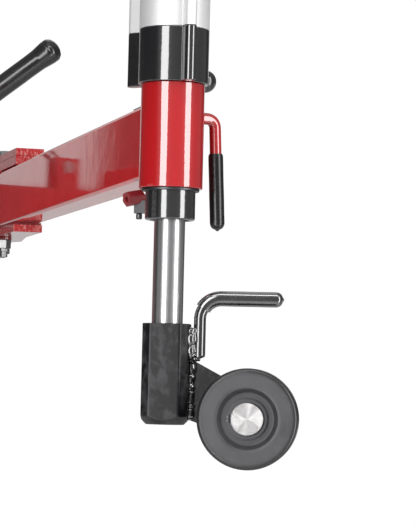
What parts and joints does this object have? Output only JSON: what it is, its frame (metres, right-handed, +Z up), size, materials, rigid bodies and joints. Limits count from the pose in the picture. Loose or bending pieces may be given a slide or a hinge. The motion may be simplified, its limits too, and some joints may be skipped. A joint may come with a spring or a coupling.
{
  "type": "swinging press arm",
  "caption": "Swinging arm with an upright air cylinder whose rod carries a pressing roller, a crank handle and a guide block.",
  "frame": {"origin": "centre of the mounting flange outer face", "axes": "+Z up along the swing axis; +X from the flange to the swing pivot, so -X is the flange face normal; the arm is stored pointing mostly along -Y"},
  "size_m": [0.6703, 1.0873, 0.86],
  "materials": {
    "red_paint": "gloss, sprayed over steel",
    "dark_red_paint": "satin, sprayed over steel",
    "black_gloss_paint": "gloss",
    "black_satin_paint": "satin, mottled",
    "black_oxide": "blackened",
    "aluminium": "satin anodised",
    "chrome": "ground and hard chromed",
    "zinc": "zinc plated",
    "turned_steel": "lathe turned",
    "bronze": "sintered",
    "brass": "nickel plated",
    "seal_rubber": "matt",
    "vinyl": "dipped vinyl, semi-gloss",
    "nylon": "cast nylon, satin",
    "grey_plastic": "moulded",
    "phenolic": "polished"
  },
  "bodies": {
    "base": {"mounting_flange": "red_paint", "link_tube": "red_paint", "knuckle": "red_paint", "knuckle_bush_upper": "bronze", "knuckle_bush_lower": "bronze", "lever_bracket": "red_paint", "lever_pin": "zinc"},
    "lock": {"lock_lever": "black_gloss_paint", "lock_grip": "vinyl"},
    "arm": {"arm_tube": "red_paint", "fork_doubler": "red_paint", "fork_plate_upper": "red_paint", "fork_plate_lower": "red_paint", "fork_spacer": "dark_red_paint", "pivot_bolt": "zinc", "pivot_washer": "zinc", "pivot_nut": "zinc", "stop_bolt": "zinc", "stop_washer": "dark_red_paint", "stop_nut": "zinc", "column_sleeve": "red_paint", "retaining_ring": "black_oxide", "guide_bush": "black_gloss_paint", "rod_wiper": "seal_rubber", "lower_cap": "black_gloss_paint", "barrel": "aluminium", "upper_cap": "black_gloss_paint", "cap_screw_1": "zinc", "cap_screw_2": "zinc", "cap_screw_3": "zinc", "air_fitting_upper": "brass", "valve_bracket": "black_oxide", "valve_body": "aluminium", "bracket_screw_front": "black_oxide", "bracket_screw_rear": "black_oxide", "valve_fitting": "brass", "pull_handle": "red_paint", "pull_grip": "vinyl", "port_block": "red_paint", "flow_hex": "dark_red_paint", "flow_body": "grey_plastic", "flow_screw": "black_oxide"},
    "slider": {"piston": "aluminium", "piston_seal_upper": "seal_rubber", "piston_seal_lower": "seal_rubber"},
    "rod_end": {"rod": "chrome", "piston_nut": "zinc", "rod_block": "black_satin_paint", "roller_plate": "black_satin_paint", "crank_bar": "black_gloss_paint", "crank_grip": "vinyl", "crank_weld": "black_gloss_paint", "roller_axle": "turned_steel", "axle_spacer": "zinc", "axle_circlip": "black_oxide"},
    "wheel": {"roller": "nylon", "roller_bush_front": "black_oxide", "roller_bush_rear": "black_oxide"},
    "valve_handle": {"valve_lever": "zinc", "ball_knob": "phenolic"}
  },
  "joints": [
    {"name": "arm_swing", "type": "hinge", "parent": "base", "child": "arm", "pos_m": [0.26, 0, 0], "axis": [0, 0, 1], "range_deg": [-30, 150]},
    {"name": "lock_tilt", "type": "hinge", "parent": "base", "child": "lock", "pos_m": [0.112, 0, 0.0638], "axis": [0, -1, 0], "range_deg": [-15, 50]},
    {"name": "rod_slide", "type": "slide", "parent": "arm", "child": "slider", "axis": [0, 0, 1], "range_m": [-0.2, 0.05]},
    {"name": "rod_turn", "type": "hinge", "parent": "slider", "child": "rod_end", "pos_m": [0.5306, -0.96269, 0], "axis": [0, 0, 1], "continuous": true},
    {"name": "roller_spin", "type": "hinge", "parent": "rod_end", "child": "wheel", "pos_m": [0.61903, -0.96965, -0.2928], "axis": [0.0785, 0.9969, 0], "continuous": true},
    {"name": "valve_tilt", "type": "hinge", "parent": "arm", "child": "valve_handle", "pos_m": [0.53983, -0.89943, 0.0704], "axis": [0.2706, -0.9627, 0], "range_deg": [-15, 15], "stiffness_Nm_per_rad": 0.4}
  ]
}
